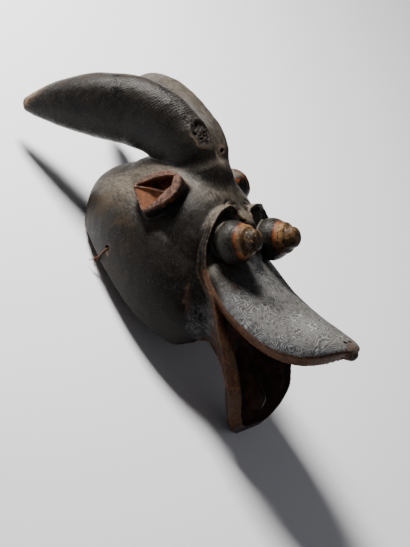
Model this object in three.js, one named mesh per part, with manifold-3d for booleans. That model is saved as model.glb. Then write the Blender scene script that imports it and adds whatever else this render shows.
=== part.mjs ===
// A carved wooden helmet mask: a hollow dome that sits on the wearer's head, an animal's face with tubular eyes,
// cupped ears, two swept-back horns and a wide open mouth. It is cut from one block, so it is one solid.
// The only other piece is the short fibre tie that is left in a hole beside the dome's rim.
//
// Sizes are in millimetres. The mask is worked out as it sits on a head: +X is its own left, -Y is forward and +Z
// is up, with the origin at the back of the dome's rim. The face leans forward in a frame of its own, with its
// origin midway between the corners of the mouth. The last group lays the whole mask down as it rests: on the
// back of the rim and the tip of the lower jaw.

import * as THREE from "three";
import { mergeVertices } from "three/addons/utils/BufferGeometryUtils.js";
import Module from "manifold-3d";

const wasm = await Module();
wasm.setup();

// Driving dimensions
const DOME_LENGTH = 270;
const DOME_MIDDLE = 146; // forward from the origin
const DOME_HALF_WIDTH = 100;
const DOME_HEIGHT = 168;
const WALL = 13;
const FACE_PITCH = 40; // degrees that the face leans forward from the rim's plane
const FACE_FORWARD = 262; // the mouth's corners, from the back of the rim
const FACE_UP = 93.5;
const EYE_SPREAD = 43;
const EYE_FOOT_RADIUS = 27;
const EYE_RING_RADIUS = 20.5;
const EYE_KNOB_RADIUS = 15.5;
const EYE_TIP = 31.5;
const EYE_UP = 64;
const EYE_PITCH = 6;
const JAW_THICKNESS = 12;
const NOSTRIL_RADIUS = 2;
const HORN_HOLE_RADIUS = 2.8;
const RIM_HOLE_RADIUS = 3.6;
const RIM_HOLE_FORWARD = 108;
const RIM_HOLE_UP = 35;
const TIE_RADIUS = 1.1;
const TIE_KNOT_RADIUS = 2.6;
const REST_FLAT = 1.5; // planed off under the back of the rim and under the jaw's tip

// Facets round each form
const DOME_SIDES = 40;
const DOME_LEVELS = 12;
const HORN_SIDES = 20;
const HORN_STEPS = 19;
const EYE_SIDES = 24;
const HOLE_SIDES = 10;
const TIE_SIDES = 8;
const TIE_STEPS = 18;

const degrees = THREE.MathUtils.degToRad;
const lerp = THREE.MathUtils.lerp;
const smoothstep = THREE.MathUtils.smoothstep;

// A place measured forward from the back of the rim, up from it and out to the mask's left
const at = (forward, up, side = 0) => new THREE.Vector3(side, -forward, up);

// A place in the face's own frame
function inFace(forward, up, side = 0) {
  const c = Math.cos(degrees(FACE_PITCH));
  const s = Math.sin(degrees(FACE_PITCH));
  return at(FACE_FORWARD + forward * c - up * s, FACE_UP + forward * s + up * c, side);
}

// A closed geometry as a solid, whichever way its faces were wound
function solidOf(geometry) {
  const bare = new THREE.BufferGeometry();
  bare.setAttribute("position", geometry.getAttribute("position"));
  bare.setIndex(geometry.getIndex());
  const merged = mergeVertices(bare, 1e-4);
  const triVerts = new Uint32Array(merged.index.array);
  const vertProperties = new Float32Array(merged.getAttribute("position").array);
  const make = () => new wasm.Manifold(new wasm.Mesh({ numProp: 3, vertProperties, triVerts }));
  const made = make();
  if (made.volume() > 0) return made;
  for (let i = 0; i < triVerts.length; i += 3) {
    [triVerts[i], triVerts[i + 1]] = [triVerts[i + 1], triVerts[i]];
  }
  return make();
}

function geometryOf(solid) {
  const mesh = solid.getMesh();
  const geometry = new THREE.BufferGeometry();
  geometry.setAttribute("position", new THREE.BufferAttribute(mesh.vertProperties, 3));
  geometry.setIndex(new THREE.BufferAttribute(mesh.triVerts, 1));
  return geometry;
}

const joined = (solids) => solids.reduce((all, one) => all.add(one));
const mirrored = (geometry) => geometry.clone().scale(-1, 1, 1);

// The same geometry on both sides of the mask
const onBothSides = (geometry) => [solidOf(geometry), solidOf(mirrored(geometry))];

// A closed skin over rings of equally many points, with a fan over each end
function loft(rings) {
  const sides = rings[0].length;
  const points = rings.flat();
  const index = [];
  for (let i = 0; i + 1 < rings.length; i++) {
    for (let j = 0; j < sides; j++) {
      const a = i * sides + j;
      const b = i * sides + ((j + 1) % sides);
      index.push(a, b, b + sides, a, b + sides, a + sides);
    }
  }
  const middle = (ring) => ring.reduce((sum, p) => sum.add(p), new THREE.Vector3()).divideScalar(sides);
  const last = (rings.length - 1) * sides;
  points.push(middle(rings[0]), middle(rings.at(-1)));
  for (let j = 0; j < sides; j++) {
    const next = (j + 1) % sides;
    index.push(next, j, points.length - 2);
    index.push(last + j, last + next, points.length - 1);
  }
  return new THREE.BufferGeometry().setFromPoints(points).setIndex(index);
}

// A thick sheet between two grids of points of the same size, closed round its edges
function sheet(outer, inner) {
  const rows = outer.length;
  const columns = outer[0].length;
  const points = [...outer.flat(), ...inner.flat()];
  const place = (layer, i, j) => (layer * rows + i) * columns + j;
  const index = [];
  const quad = (a, b, c, d) => index.push(a, b, c, a, c, d);
  for (let i = 0; i + 1 < rows; i++) {
    for (let j = 0; j + 1 < columns; j++) {
      quad(place(0, i, j), place(0, i, j + 1), place(0, i + 1, j + 1), place(0, i + 1, j));
      quad(place(1, i, j), place(1, i + 1, j), place(1, i + 1, j + 1), place(1, i, j + 1));
    }
    quad(place(0, i, 0), place(0, i + 1, 0), place(1, i + 1, 0), place(1, i, 0));
    quad(place(0, i + 1, columns - 1), place(0, i, columns - 1), place(1, i, columns - 1), place(1, i + 1, columns - 1));
  }
  for (let j = 0; j + 1 < columns; j++) {
    quad(place(0, 0, j + 1), place(0, 0, j), place(1, 0, j), place(1, 0, j + 1));
    quad(place(0, rows - 1, j), place(0, rows - 1, j + 1), place(1, rows - 1, j + 1), place(1, rows - 1, j));
  }
  return new THREE.BufferGeometry().setFromPoints(points).setIndex(index);
}

// Values eased along a form through a few stations, each a list of numbers
function along(stations) {
  const curves = stations[0].map((_, k) =>
    new THREE.CatmullRomCurve3(stations.map((s, i) => new THREE.Vector3(i, s[k], 0)), false, "centripetal"));
  return (t) => curves.map((curve) => curve.getPoint(t).y);
}

const steps = (count) => Array.from({ length: count + 1 }, (_, i) => i / count);
const rounds = (sides) => Array.from({ length: sides }, (_, j) => (j / sides) * 2 * Math.PI);

// A power of a sine or cosine that keeps its sign: under 1 it squares up a round
const eased = (value, power) => Math.sign(value) * Math.abs(value) ** power;

// Dome: an egg-shaped plan, wider towards the face, under a crown that leans back
const PLAN_SQUARENESS = 0.87;
const PLAN_SKEW = 0.13;
const CROWN_SQUARENESS = 0.96;
const CROWN_LEAN = 27;
const BULGE = 0.1; // the sides swell above the rim before they turn in
const BULGE_TOP = 0.38;

// The rim is high at the back, hangs lowest under the cheeks and arches up under the chin
function rimHeight(forward) {
  const cheeks = -16 * smoothstep(forward, 60, 225);
  const throat = 36 * smoothstep(forward, 244, 284);
  return 15 + cheeks + throat;
}

function domeRing(rise, inset) {
  const angle = rise * (Math.PI / 2);
  const swell = 1 + BULGE * Math.sin(Math.PI * Math.min(1, rise / BULGE_TOP));
  const shrink = eased(Math.cos(angle), CROWN_SQUARENESS) * swell;
  const height = (DOME_HEIGHT - inset) * eased(Math.sin(angle), CROWN_SQUARENESS);
  const half = Math.max((DOME_HALF_WIDTH - inset) * shrink, 1);
  const reach = Math.max((DOME_LENGTH / 2 - inset) * shrink, 1);
  const middle = DOME_MIDDLE - CROWN_LEAN * rise ** 1.1;
  return rounds(DOME_SIDES).map((turn) => {
    const ahead = eased(Math.cos(turn), PLAN_SQUARENESS);
    const aside = eased(Math.sin(turn), PLAN_SQUARENESS) * (1 + PLAN_SKEW * ahead);
    const forward = middle + reach * ahead;
    return at(forward, height + rimHeight(forward) * (1 - rise) ** 2, half * aside);
  });
}

function dome() {
  return solidOf(loft(steps(DOME_LEVELS).map((rise) => domeRing(rise * 0.985, 0))));
}

function headRoom() {
  const rings = steps(DOME_LEVELS - 2).map((rise) => domeRing(rise * 0.985, WALL));
  const below = rings[0].map((p) => p.clone().setZ(-80));
  return solidOf(loft([below, ...rings]));
}

// Horns: from their joined feet on the forehead they sweep back and apart, thickest halfway.
// Each station is forward, up and side of the middle line, then half the height and half the width.
const hornStations = [
  [114, 152, 10, 14, 12],
  [107, 155, 13, 27, 19],
  [91, 161, 16, 34, 24],
  [64, 169, 19, 39, 29],
  [31, 169, 24, 43, 32],
  [-6, 159.5, 34, 45, 33],
  [-45, 136.5, 54, 42, 31],
  [-81, 109, 77, 29, 23],
  [-99, 93, 90, 16.5, 14.5],
  [-107, 86, 95, 9.5, 9.5],
];

// The left horn is a little slimmer in front and stands a little higher behind
const leftHornStations = hornStations.map(([forward, up, side, tall, wide]) => {
  const front = smoothstep(forward, -60, 0) - smoothstep(forward, 20, 95);
  const behind = smoothstep(-forward, -20, 40) - smoothstep(-forward, 60, 107);
  return [forward, up + 4 * behind, side - 4 * front, tall - 4 * front, wide - front];
});

function horn(stations) {
  const station = along(stations);
  const middle = (t) => at(...station(t).slice(0, 3));
  const rings = steps(HORN_STEPS).map((t) => {
    const [, , , tall, wide] = station(t);
    const run = middle(Math.min(1, t + 0.02)).sub(middle(Math.max(0, t - 0.02))).normalize();
    const across = new THREE.Vector3(0, 0, 1).cross(run).normalize();
    const upward = run.clone().cross(across);
    return rounds(HORN_SIDES).map((turn) =>
      middle(t)
        .addScaledVector(across, wide * Math.cos(turn))
        .addScaledVector(upward, tall * Math.sin(turn)));
  });
  const onward = middle(1).sub(middle(0.96)).normalize();
  const blunt = rings.at(-1).map((p) => p.clone().lerp(middle(1), 0.4).addScaledVector(onward, 4));
  return loft([...rings, blunt]);
}

// Face: a leaf-shaped shield whose edge is the brows above and the lower jaw's lip below.
// Each station of its edge is side, up and forward, from the middle of the forehead round to the chin.
const edgeStations = [
  [0, 84, -12],
  [9, 90, -13],
  [14, 102, -20],
  [24, 107, -19],
  [34, 108, -16.5],
  [48, 101, -21],
  [66, 80, -22.5],
  [70, 55, -28],
  [70, 30, -28],
  [75, 0, -15],
  [76, -35, -6],
  [72, -69, 0],
  [64.5, -119, 4],
  [52, -148, -4],
  [30, -170, -15],
  [0, -178, -27],
];
const EDGE_STEPS = 26;

function edgePoints() {
  const station = along(edgeStations);
  const half = steps(EDGE_STEPS).map(station);
  const other = half.slice(1, -1).reverse().map(([side, up, forward]) => [-side, up, forward]);
  return [...half, ...other];
}

// The edge moved inwards by its own normal in the face's plane, then drawn in to the mouth's middle
const MOUTH_MIDDLE = -30;

function edgeRing(inset, draw, forwardOf) {
  const edge = edgePoints();
  return edge.map(([side, up, forward], i) => {
    const before = edge.at(i - 1);
    const after = edge[(i + 1) % edge.length];
    const run = new THREE.Vector2(after[0] - before[0], after[1] - before[1]).normalize();
    const moved = typeof inset === "function" ? inset(up) : inset;
    const x = side + run.y * moved;
    const y = up - run.x * moved;
    const keep = 1 - (typeof draw === "function" ? draw(up) : draw);
    return inFace(forwardOf(forward, up), lerp(MOUTH_MIDDLE, y, keep), x * keep);
  });
}

function face() {
  const floor = (up) => -24 - 8 * smoothstep(up, 66, 92);
  const corner = (up) => smoothstep(up, -60, -22) - smoothstep(up, -5, 30);
  const lip = (up, jaw, brow) => lerp(jaw, brow, smoothstep(up, -10, 40)) + 10 * corner(up);
  const cheek = (up) => smoothstep(up, -112, -10);
  const throat = (up) => smoothstep(up, -75, 0);
  const belly = (up) => smoothstep(up, -150, -95) - smoothstep(up, -95, -62);
  const under = (forward, up) => lerp(forward - lerp(20, 31, belly(up)), -65, cheek(up));

  // The lower jaw's lip is cut back outwards, so that its broad edge faces half forward and half to the side
  const cutBack = (up) => smoothstep(-up, 8, 90);

  // Each ring is set in from the edge, drawn in by one share along the jaw and another along the brows, and given
  // its own depth: from the middle of the back, out over the edge and its lip, to the floor of the mouth
  const drawn = (jaw, brow) => (up) => lerp(jaw, brow, cheek(up));
  const sunk = (share) => (forward, up) => lerp(forward, floor(up), share);
  const brink = (forward, up) => forward + 10 * cutBack(up);
  const inner = (forward, up) => brink(forward, up) - lerp(6, 3, cheek(up));
  const rings = [
    [0, drawn(0.7, 0.5), (forward, up) => lerp(-39, -75, throat(up))],
    [0, drawn(0.35, 0.12), under],
    [0, drawn(0.16, 0.02), (forward, up) => forward - lerp(14, 18, belly(up))],
    [0, drawn(0.05, 0), (forward, up) => forward - 7 - 2 * cutBack(up)],
    [0, 0, (forward, up) => forward - 4 * cutBack(up)],
    [(up) => lip(up, 7, 2) + 3 * cutBack(up), 0, brink],
    [(up) => lip(up, 11, 4) + 2 * cutBack(up), 0, inner],
    [(up) => lip(up, 11, 6) + 2 * cutBack(up), drawn(0.2, 0.1), sunk(0.4)],
    [(up) => lip(up, 11, 8), drawn(0.52, 0.2), sunk(0.85)],
    [(up) => lip(up, 11, 8), drawn(0.8, 0.5), sunk(1)],
  ];
  return solidOf(loft(rings.map(([inset, draw, forwardOf]) => edgeRing(inset, draw, forwardOf))));
}

// Nose: the ridge that runs from the forehead down between the eyes on to the upper jaw.
// Each station is forward and up of its crest, half its width there and half its width at its foot.
const noseStations = [
  [-62, 168, 16, 44],
  [-48, 152, 18, 48],
  [-41, 132, 17, 46],
  [-25, 106, 10, 30],
  [-6, 84, 7, 18],
  [0, 60, 7, 15],
  [4, 36, 9, 18],
  [7, 12, 14, 24],
];

function nose() {
  const station = along(noseStations);
  const rings = steps(12).map((t) => {
    const [forward, up, crest, foot] = station(t);
    const back = 34;
    return [
      inFace(forward, up, 0),
      inFace(forward - 1, up - 1, crest),
      inFace(forward - 12, up - 8, foot * 0.7),
      inFace(forward - back, up - 20, foot),
      inFace(forward - back - 6, up - 24, 0),
      inFace(forward - back, up - 20, -foot),
      inFace(forward - 12, up - 8, -foot * 0.7),
      inFace(forward - 1, up - 1, -crest),
    ];
  });
  return solidOf(loft(rings));
}

// Upper jaw: a broad bill, arched across. Each station is forward and up of its crest, then forward, up and side
// of its lip.
const billStations = [
  [-13, 46, -35, 32, 66],
  [-3, 34, -26, 19, 71],
  [8, 20, -14, 2, 75],
  [21, 5, 1, -15, 78],
  [44, -13, 31, -39, 80],
  [67, -26, 58, -57, 77],
  [91, -37, 80, -67, 70],
  [112, -46, 102, -72, 57],
  [128, -53, 118, -71, 41],
  [136, -58, 129, -68, 27],
  [141, -63, 137, -66, 14],
];
const BILL_ROWS = 16;
const BILL_COLUMNS = 16;

function billRow(t, depth) {
  const station = along(billStations);
  const [crestForward, crestUp, lipForward, lipUp, lipSide] = station(t);
  const shrink = 1 - depth / Math.max(lipSide, 2 * depth);
  return steps(BILL_COLUMNS).map((place) => {
    const turn = (place - 0.5) * Math.PI;
    const high = eased(Math.cos(turn), 0.95);
    const forward = lerp(lipForward, crestForward, high);
    const up = lerp(lipUp, crestUp, high);
    return inFace(forward - 0.55 * depth, up - 0.83 * depth, lipSide * Math.sin(turn) * (depth > 0 ? shrink : 1));
  });
}

function upperJaw() {
  const outer = steps(BILL_ROWS).map((t) => billRow(t, 0));
  const inner = steps(BILL_ROWS).map((t) => billRow(t, JAW_THICKNESS));
  return solidOf(sheet(outer, inner));
}

// Snub end of the upper jaw
function billEnd() {
  const place = inFace(134, -68);
  return solidOf(new THREE.SphereGeometry(9, 14, 10).scale(1.25, 1, 0.9).translate(place.x, place.y, place.z));
}

// A drilled hole as a rod to cut with, from one place to another
function drilled(radius, from, to) {
  const run = to.clone().sub(from);
  const rod = new THREE.CylinderGeometry(radius, radius, run.length(), HOLE_SIDES);
  rod.applyQuaternion(new THREE.Quaternion().setFromUnitVectors(new THREE.Vector3(0, 1, 0), run.normalize()));
  const middle = from.clone().lerp(to, 0.5);
  return rod.translate(middle.x, middle.y, middle.z);
}

const nostril = () => drilled(NOSTRIL_RADIUS, inFace(128, -50, 5.5), inFace(121, -64, 5.5));
const hornHole = () => drilled(HORN_HOLE_RADIUS, inFace(-38, 181, 8), inFace(-74, 168, 8));
const besideRim = (side) => at(RIM_HOLE_FORWARD, RIM_HOLE_UP, side);
const rimHole = () => drilled(RIM_HOLE_RADIUS, besideRim(DOME_HALF_WIDTH - 30), besideRim(DOME_HALF_WIDTH + 30));

// Eyes: turned tubes, stepped down to a round knob
function eye() {
  const outline = [
    [0, -44],
    [EYE_FOOT_RADIUS - 12, -44],
    [EYE_FOOT_RADIUS - 9, -24],
    [EYE_FOOT_RADIUS - 3, -16],
    [EYE_FOOT_RADIUS, -8],
    [EYE_FOOT_RADIUS - 1, 2],
    [EYE_RING_RADIUS + 3, 10],
    [EYE_RING_RADIUS, 17],
    [EYE_RING_RADIUS - 1.5, 19],
    [EYE_KNOB_RADIUS + 1, 19.5],
    [EYE_KNOB_RADIUS, 23],
    ...steps(4).map((t) => {
      const turn = t * (Math.PI / 2);
      return [EYE_KNOB_RADIUS * Math.cos(turn), 23 + (EYE_TIP - 23) * Math.sin(turn)];
    }).slice(1),
  ];
  outline[outline.length - 1][0] = 0;
  const geometry = new THREE.LatheGeometry(outline.map(([r, along]) => new THREE.Vector2(r, along)), EYE_SIDES);
  geometry.rotateX(degrees(180 - EYE_PITCH - FACE_PITCH));
  const place = inFace(0, EYE_UP, EYE_SPREAD);
  return geometry.translate(place.x, place.y, place.z);
}

// Tongue: a keel that rises from the lower jaw's floor and tapers forward to a blunt end.
// Each station is forward and up of its crest, half its width there and half its width at its foot.
const tongueStations = [
  [-40, -46, 13, 22],
  [-24, -69, 12, 21],
  [-8, -95, 9, 18],
  [6, -118, 5, 13],
  [12, -130, 2.5, 9],
  [6, -144, 2, 6],
];

function tongue() {
  const station = along(tongueStations);
  const rings = steps(10).map((t) => {
    const [forward, up, crest, foot] = station(t);
    return [
      inFace(forward, up, crest),
      inFace(lerp(forward, -34, 0.5), up - 3, lerp(crest, foot, 0.8)),
      inFace(-34, up - 6, foot),
      inFace(-34, up - 6, -foot),
      inFace(lerp(forward, -34, 0.5), up - 3, -lerp(crest, foot, 0.8)),
      inFace(forward, up, -crest),
    ];
  });
  return solidOf(loft(rings));
}

// Ears: cupped lozenges that stand off the dome's sides, each hollowed to a deep pit above a ridge and to a
// sloping facet below it. An ear has a frame of its own: along its length, across it and out of the dome.
const EAR_THICKNESS = 36;
const EAR_PIT = 17;
const EAR_FACET = 8;
const faceward = (forward, up, side) => inFace(forward, up, side).sub(inFace(0, 0, 0)).normalize();
const earPlace = inFace(-91, 124, 87.5);
const earOut = faceward(0.19, 0.45, 0.85);
const earAlong = faceward(1, 0, 0).addScaledVector(earOut, -faceward(1, 0, 0).dot(earOut)).normalize();
const earAcross = earAlong.clone().cross(earOut).normalize();
const earCorners = [[-32, 4], [-21, 18], [-2, 29], [12, 31], [25, 25], [29, 14], [27, 2], [17, -11], [1, -23],
  [-8, -27], [-13, -24], [-22, -11]];

const inEar = (x, y, out) => earPlace.clone()
  .addScaledVector(earAlong, x)
  .addScaledVector(earAcross, y)
  .addScaledVector(earOut, out);

function earRing(inset, out) {
  const curve = new THREE.CatmullRomCurve3(earCorners.map(([x, y]) => new THREE.Vector3(x, y, 0)), true);
  return curve.getPoints(26).slice(0, -1).map((p) => {
    const keep = 1 - inset / p.length();
    return inEar(p.x * keep, p.y * keep, out);
  });
}

function earBlock() {
  return loft([earRing(-1, -EAR_THICKNESS), earRing(-1, -8), earRing(0, -2), earRing(1.5, 0)]);
}

// Each hollow is a prism over a few corners, with a depth of its own at each
function earHollow(corners) {
  const low = corners.map(([x, y, depth]) => inEar(x, y, -depth));
  const high = corners.map(([x, y]) => inEar(x, y, 6));
  return loft([low, high]);
}

function earHollows() {
  const pit = [[-27, 5, 2], [-8, 15, EAR_PIT], [8, 20, EAR_PIT], [19, 22, EAR_PIT], [15, 11, EAR_PIT],
    [8, 2.5, EAR_FACET], [-10, 4, 4]];
  const facet = [[-35, 3.5, 0.3], [-10, 3.5, 4], [8, 2, EAR_FACET], [0, -10, EAR_FACET - 1], [-8, -21, 4],
    [-15, -27, 2], [-25, -14, 1]];
  return [earHollow(pit), earHollow(facet)];
}

const whole = joined([
  dome(),
  solidOf(horn(leftHornStations)),
  solidOf(mirrored(horn(hornStations))),
  face(),
  nose(),
  upperJaw(),
  billEnd(),
  ...onBothSides(eye()),
  ...onBothSides(earBlock()),
  tongue(),
]).subtract(joined([
  headRoom(),
  solidOf(hornHole()),
  ...onBothSides(nostril()),
  ...onBothSides(rimHole()),
  ...earHollows().flatMap(onBothSides),
]));

// Rest: the nose comes up until the back of the rim and the tip of the lower jaw lie on one plane
const rimBack = domeRing(0, 0)[DOME_SIDES / 2];

function pitchAtRest(solid) {
  const places = solid.getMesh().vertProperties;
  let steepest = 0;
  for (let i = 0; i < places.length; i += 3) {
    const ahead = rimBack.y - places[i + 1];
    if (ahead > DOME_LENGTH / 2) steepest = Math.max(steepest, Math.atan2(rimBack.z - places[i + 2], ahead));
  }
  return steepest;
}

const restPitch = pitchAtRest(whole);
const restHeight = rimBack.z * Math.cos(restPitch) - rimBack.y * Math.sin(restPitch);

// Everything under the rest plane, as a slab turned with it
function underside() {
  const thickness = 40;
  const slab = new THREE.BoxGeometry(300, 700, thickness);
  slab.translate(0, -200, restHeight + REST_FLAT - thickness / 2);
  return solidOf(slab.rotateX(restPitch));
}

const carved = whole.subtract(underside());

// Tie: a strand of plant fibre through the hole on the right, round the rim's edge and knotted under it.
// Each place on its way is forward, up and side.
const tieWay = [
  [101, 10.6, -95.2],
  [102.5, 17, -95.6],
  [105, 25, -98.6],
  [107.2, 31, -100.9],
  [108, 33.7, -100],
  [108, 34, -92],
  [108, 33.7, -85],
  [107.2, 31, -83.2],
  [105, 24, -81.3],
  [102.5, 15.5, -78],
  [101, 10.8, -79.4],
  [101, 10.4, -86],
  [101, 10.6, -95.2],
];
const knotPlace = at(101, 10.2, -95.7);

function strand(places, count) {
  const outline = new THREE.Shape(rounds(TIE_SIDES).map((turn) =>
    new THREE.Vector2(TIE_RADIUS * Math.cos(turn), TIE_RADIUS * Math.sin(turn))));
  const way = new THREE.CatmullRomCurve3(places, false, "centripetal");
  return solidOf(new THREE.ExtrudeGeometry(outline, { extrudePath: way, steps: count, bevelEnabled: false }));
}

function tie() {
  const knot = new THREE.SphereGeometry(TIE_KNOT_RADIUS, 8, 5).translate(knotPlace.x, knotPlace.y, knotPlace.z);
  return joined([
    strand(tieWay.map((place) => at(...place)), TIE_STEPS),
    solidOf(knot),
    strand([knotPlace, at(98.5, 6, -98), at(95, 3.5, -98.5)], 3),
    strand([knotPlace, at(103, 5.5, -97.5), at(106.5, 3, -97)], 3),
  ]);
}

const wood = new THREE.MeshStandardMaterial({ color: 0x3a322c, roughness: 0.6, metalness: 0 });
const fibre = new THREE.MeshStandardMaterial({ color: 0x5b3a2a, roughness: 0.9, metalness: 0 });

const mask = new THREE.Mesh(geometryOf(carved), wood);
mask.name = "mask";
const rimTie = new THREE.Mesh(geometryOf(tie()), fibre);
rimTie.name = "rim_tie";

const upright = new THREE.Group();
upright.name = "upright";
upright.add(mask, rimTie);
upright.rotation.x = -restPitch;

const part = new THREE.Group();
part.add(upright);
const bounds = new THREE.Box3().setFromObject(part, true);
const middle = bounds.getCenter(new THREE.Vector3());
upright.position.set(-middle.x, -middle.y, -bounds.min.z);

export default part;
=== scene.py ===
import math
import random

import bpy
import numpy as np
from mathutils import Matrix, Vector, kdtree, noise


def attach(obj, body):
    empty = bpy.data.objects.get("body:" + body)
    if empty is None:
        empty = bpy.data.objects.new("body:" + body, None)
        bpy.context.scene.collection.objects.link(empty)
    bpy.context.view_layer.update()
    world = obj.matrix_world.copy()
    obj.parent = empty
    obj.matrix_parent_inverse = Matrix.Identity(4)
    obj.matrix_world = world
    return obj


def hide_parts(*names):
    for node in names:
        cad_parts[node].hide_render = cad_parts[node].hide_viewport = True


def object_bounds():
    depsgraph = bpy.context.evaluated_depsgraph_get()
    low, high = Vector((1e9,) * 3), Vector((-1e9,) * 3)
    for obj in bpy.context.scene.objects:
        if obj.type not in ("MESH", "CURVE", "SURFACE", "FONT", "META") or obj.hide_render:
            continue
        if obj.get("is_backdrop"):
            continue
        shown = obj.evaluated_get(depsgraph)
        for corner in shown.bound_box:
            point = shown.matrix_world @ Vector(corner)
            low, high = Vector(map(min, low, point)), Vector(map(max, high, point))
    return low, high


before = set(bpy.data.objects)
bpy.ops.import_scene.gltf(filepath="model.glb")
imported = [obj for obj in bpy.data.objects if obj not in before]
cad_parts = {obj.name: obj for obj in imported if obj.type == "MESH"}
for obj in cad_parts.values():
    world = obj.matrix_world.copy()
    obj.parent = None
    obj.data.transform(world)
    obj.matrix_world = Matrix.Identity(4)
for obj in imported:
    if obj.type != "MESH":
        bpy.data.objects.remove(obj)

cad_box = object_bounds()

# Camera
# It stands at the mask's right, a little in front. The photograph shows the mask hung with its face upright,
# and here it lies on its rim and jaw, so the camera leans and looks down with it.
FACE_LEAN = math.radians(52.825)
CAMERA_TURN = math.radians(35)
CAMERA_RISE = math.radians(4)
CAMERA_DISTANCE = 2.6
CAMERA_AIM = Vector((0, -0.0477, 0.0800))
CAMERA_SENSOR = 36  # mm high
CAMERA_LENS = 136.9  # mm

lean = Matrix.Rotation(-FACE_LEAN, 3, "X")
forwards = Vector((math.cos(CAMERA_TURN), math.sin(CAMERA_TURN), 0))
looking = lean @ (forwards * math.cos(CAMERA_RISE) - Vector((0, 0, math.sin(CAMERA_RISE))))
overhead = lean @ (forwards * math.sin(CAMERA_RISE) + Vector((0, 0, math.cos(CAMERA_RISE))))
bpy.ops.object.camera_add()
camera = bpy.context.object
camera.name = "camera"
camera.data.sensor_fit = "VERTICAL"
camera.data.sensor_height = CAMERA_SENSOR
camera.data.lens = CAMERA_LENS
turned = Matrix((looking.cross(overhead), overhead, -looking)).transposed().to_4x4()
camera.matrix_world = Matrix.Translation(CAMERA_AIM - looking * CAMERA_DISTANCE) @ turned
bpy.context.scene.camera = camera

# Dome
# The hollow cap for the wearer's head, cut from the same block as everything else. Its plan is an egg, wider
# towards the face, its crown leans back, its rim is high behind, low at the cheeks and arched at the chin.
REST_PITCH = math.radians(12.825)  # how the worn mask tips forward when it is put down
REST_BACK = 123.606  # mm, the back of the rim from the middle of the part
REST_DROP = 18.568  # mm, the floor above the back of the rim as worn
DOME_LENGTH = 270
DOME_MIDDLE = 146
DOME_HALF_WIDTH = 100
DOME_HEIGHT = 168
WALL = 13
PLAN_ROUNDNESS = 0.87  # 1 is an ellipse, and less is fuller at its corners
PROFILE_ROUNDNESS = 0.96
FACE_SWELL = 0.13  # how much wider the plan's front half is
LOW_SWELL = 0.1  # how far the wall swells out above the rim
LOW_SWELL_TOP = 0.38
CROWN_LEAN = 27
CROWN = 0.985  # the share of the rise at which the skin closes


def at(forward, up, side=0.0):
    """A place in mm as worn: forward from the back of the rim, up from it and out to the mask's left."""
    y = REST_BACK - forward * math.cos(REST_PITCH) + up * math.sin(REST_PITCH)
    z = forward * math.sin(REST_PITCH) + up * math.cos(REST_PITCH) - REST_DROP
    return np.stack(np.broadcast_arrays(side, y, z), axis=-1) / 1000


def ramp(value, low, high):
    share = np.clip((np.asarray(value, float) - low) / (high - low), 0, 1)
    return share * share * (3 - 2 * share)


def between(a, b, share):
    return a + (b - a) * share


def squared(value, power):
    return np.sign(value) * np.abs(value) ** power


def rim_height(forward):
    return 15 - 16 * ramp(forward, 60, 225) + 36 * ramp(forward, 244, 284)


def dome_narrowing(rise):
    """The share of the plan's full size that is left at a share of the dome's rise."""
    swell = 1 + LOW_SWELL * np.sin(math.pi * np.minimum(1, rise / LOW_SWELL_TOP))
    return np.cos(rise * math.pi / 2) ** PROFILE_ROUNDNESS * swell


def dome_middle(rise):
    return DOME_MIDDLE - CROWN_LEAN * rise ** 1.1


def dome_place(rise, turn, inset=0.0):
    height = (DOME_HEIGHT - inset) * np.sin(rise * math.pi / 2) ** PROFILE_ROUNDNESS
    half = np.maximum((DOME_HALF_WIDTH - inset) * dome_narrowing(rise), 1)
    reach = np.maximum((DOME_LENGTH / 2 - inset) * dome_narrowing(rise), 1)
    ahead = squared(np.cos(turn), PLAN_ROUNDNESS)
    aside = squared(np.sin(turn), PLAN_ROUNDNESS) * (1 + FACE_SWELL * ahead)
    forward = dome_middle(rise) + reach * ahead
    return at(forward, height + rim_height(forward) * (1 - rise) ** 2, half * aside)


def vertices_of(form, what="co"):
    """Where each vertex is, in metres, or with "normal" the way it faces."""
    flat = np.empty(len(form.data.vertices) * 3, np.float32)
    form.data.vertices.foreach_get(what, flat)
    return flat.reshape(-1, 3).astype(float)


def put(form, places):
    form.data.vertices.foreach_set("co", np.ascontiguousarray(places, np.float32).ravel())
    form.data.update()


def pick(*picked):
    """Selects these and nothing else, the first as the active one, or nothing at all."""
    bpy.ops.object.select_all(action="DESELECT")
    for form in picked:
        form.select_set(True)
    if picked:
        bpy.context.view_layer.objects.active = picked[0]


def edit_all(operator, **settings):
    """One operator in edit mode on the whole of the active mesh."""
    bpy.ops.object.mode_set(mode="EDIT")
    bpy.ops.mesh.select_all(action="SELECT")
    operator(**settings)
    bpy.ops.object.mode_set(mode="OBJECT")


def face_outwards(form):
    pick(form)
    edit_all(bpy.ops.mesh.normals_make_consistent, inside=False)


def drawn_ball(name, sides, rings, place):
    """A ball drawn out into a closed form. place(t, turn) says where its rings go, t from 0 to 1 along it."""
    pick()
    bpy.ops.mesh.primitive_uv_sphere_add(segments=sides, ring_count=rings + 2, radius=1)
    form = bpy.context.object
    form.name = name
    ball = vertices_of(form)
    t = (np.arccos(np.clip(ball[:, 2], -1, 1)) / math.pi * (rings + 2) - 1) / rings
    turn = np.arctan2(ball[:, 1], ball[:, 0])
    places = place(np.clip(np.round(t * rings) / rings, 0, 1), turn)
    half_ring = 0.5 / rings
    for end, pole in ((0, t < -half_ring), (1, t > 1 + half_ring)):
        places[pole] = places[(np.abs(t - end) < half_ring) & ~pole].mean(axis=0)
    put(form, places)
    face_outwards(form)
    return form


forms = [drawn_ball("dome", 160, 80, lambda t, turn: dome_place(t * CROWN, turn))]

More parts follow.
